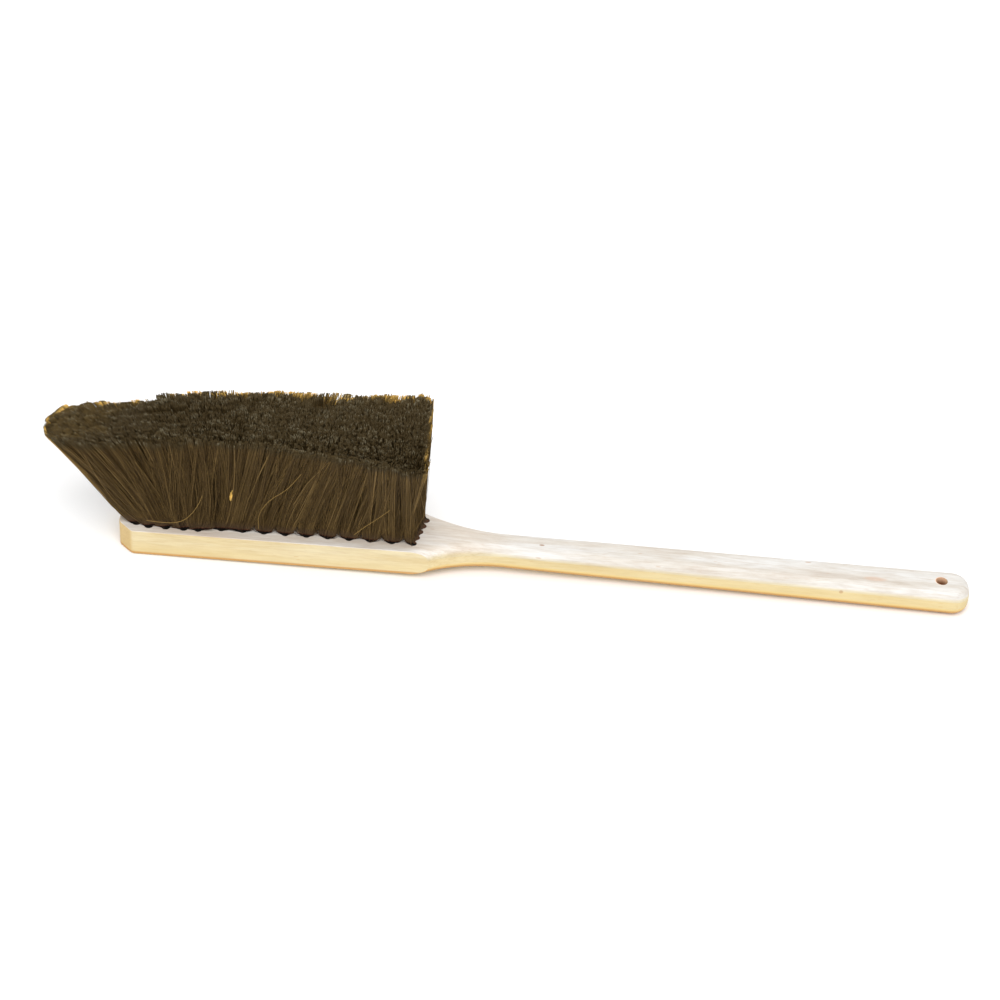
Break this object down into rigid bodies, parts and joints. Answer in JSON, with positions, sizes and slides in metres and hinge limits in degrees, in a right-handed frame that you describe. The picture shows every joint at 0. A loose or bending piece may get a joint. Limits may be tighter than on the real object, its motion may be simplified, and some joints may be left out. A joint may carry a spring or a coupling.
{
  "type": "bee brush",
  "caption": "Long-handled brush with a slim wooden block of soft dark hair, fanned forward at the nose, for sweeping bees off combs; hanging hole in the handle.",
  "frame": {"origin": "centre of the bristle block's flat back, on the back", "axes": "+X from the bristles along the block to the end of the handle, +Y across, +Z the way the bristles stand"},
  "size_m": [0.4544, 0.0596, 0.0823],
  "materials": {
    "beech": "sanded, unvarnished pale beech",
    "hair": "dark brown natural hair, lighter at its trimmed tips",
    "anchor_wire": "flat galvanised wire"
  },
  "bodies": {
    "root": {"wood_stock": "beech", "tuft_column_01": "hair", "tuft_column_02": "hair", "tuft_column_03": "hair", "tuft_column_04": "hair", "tuft_column_05": "hair", "tuft_column_06": "hair", "tuft_column_07": "hair", "tuft_column_08": "hair", "tuft_column_09": "hair", "tuft_column_10": "hair", "tuft_column_11": "hair", "tuft_column_12": "hair", "tuft_column_13": "hair", "tuft_column_14": "hair", "tuft_column_15": "hair", "anchor_column_01": "anchor_wire", "anchor_column_02": "anchor_wire", "anchor_column_03": "anchor_wire", "anchor_column_04": "anchor_wire", "anchor_column_05": "anchor_wire", "anchor_column_06": "anchor_wire", "anchor_column_07": "anchor_wire", "anchor_column_08": "anchor_wire", "anchor_column_09": "anchor_wire", "anchor_column_10": "anchor_wire", "anchor_column_11": "anchor_wire", "anchor_column_12": "anchor_wire", "anchor_column_13": "anchor_wire", "anchor_column_14": "anchor_wire", "anchor_column_15": "anchor_wire"}
  },
  "joints": []
}
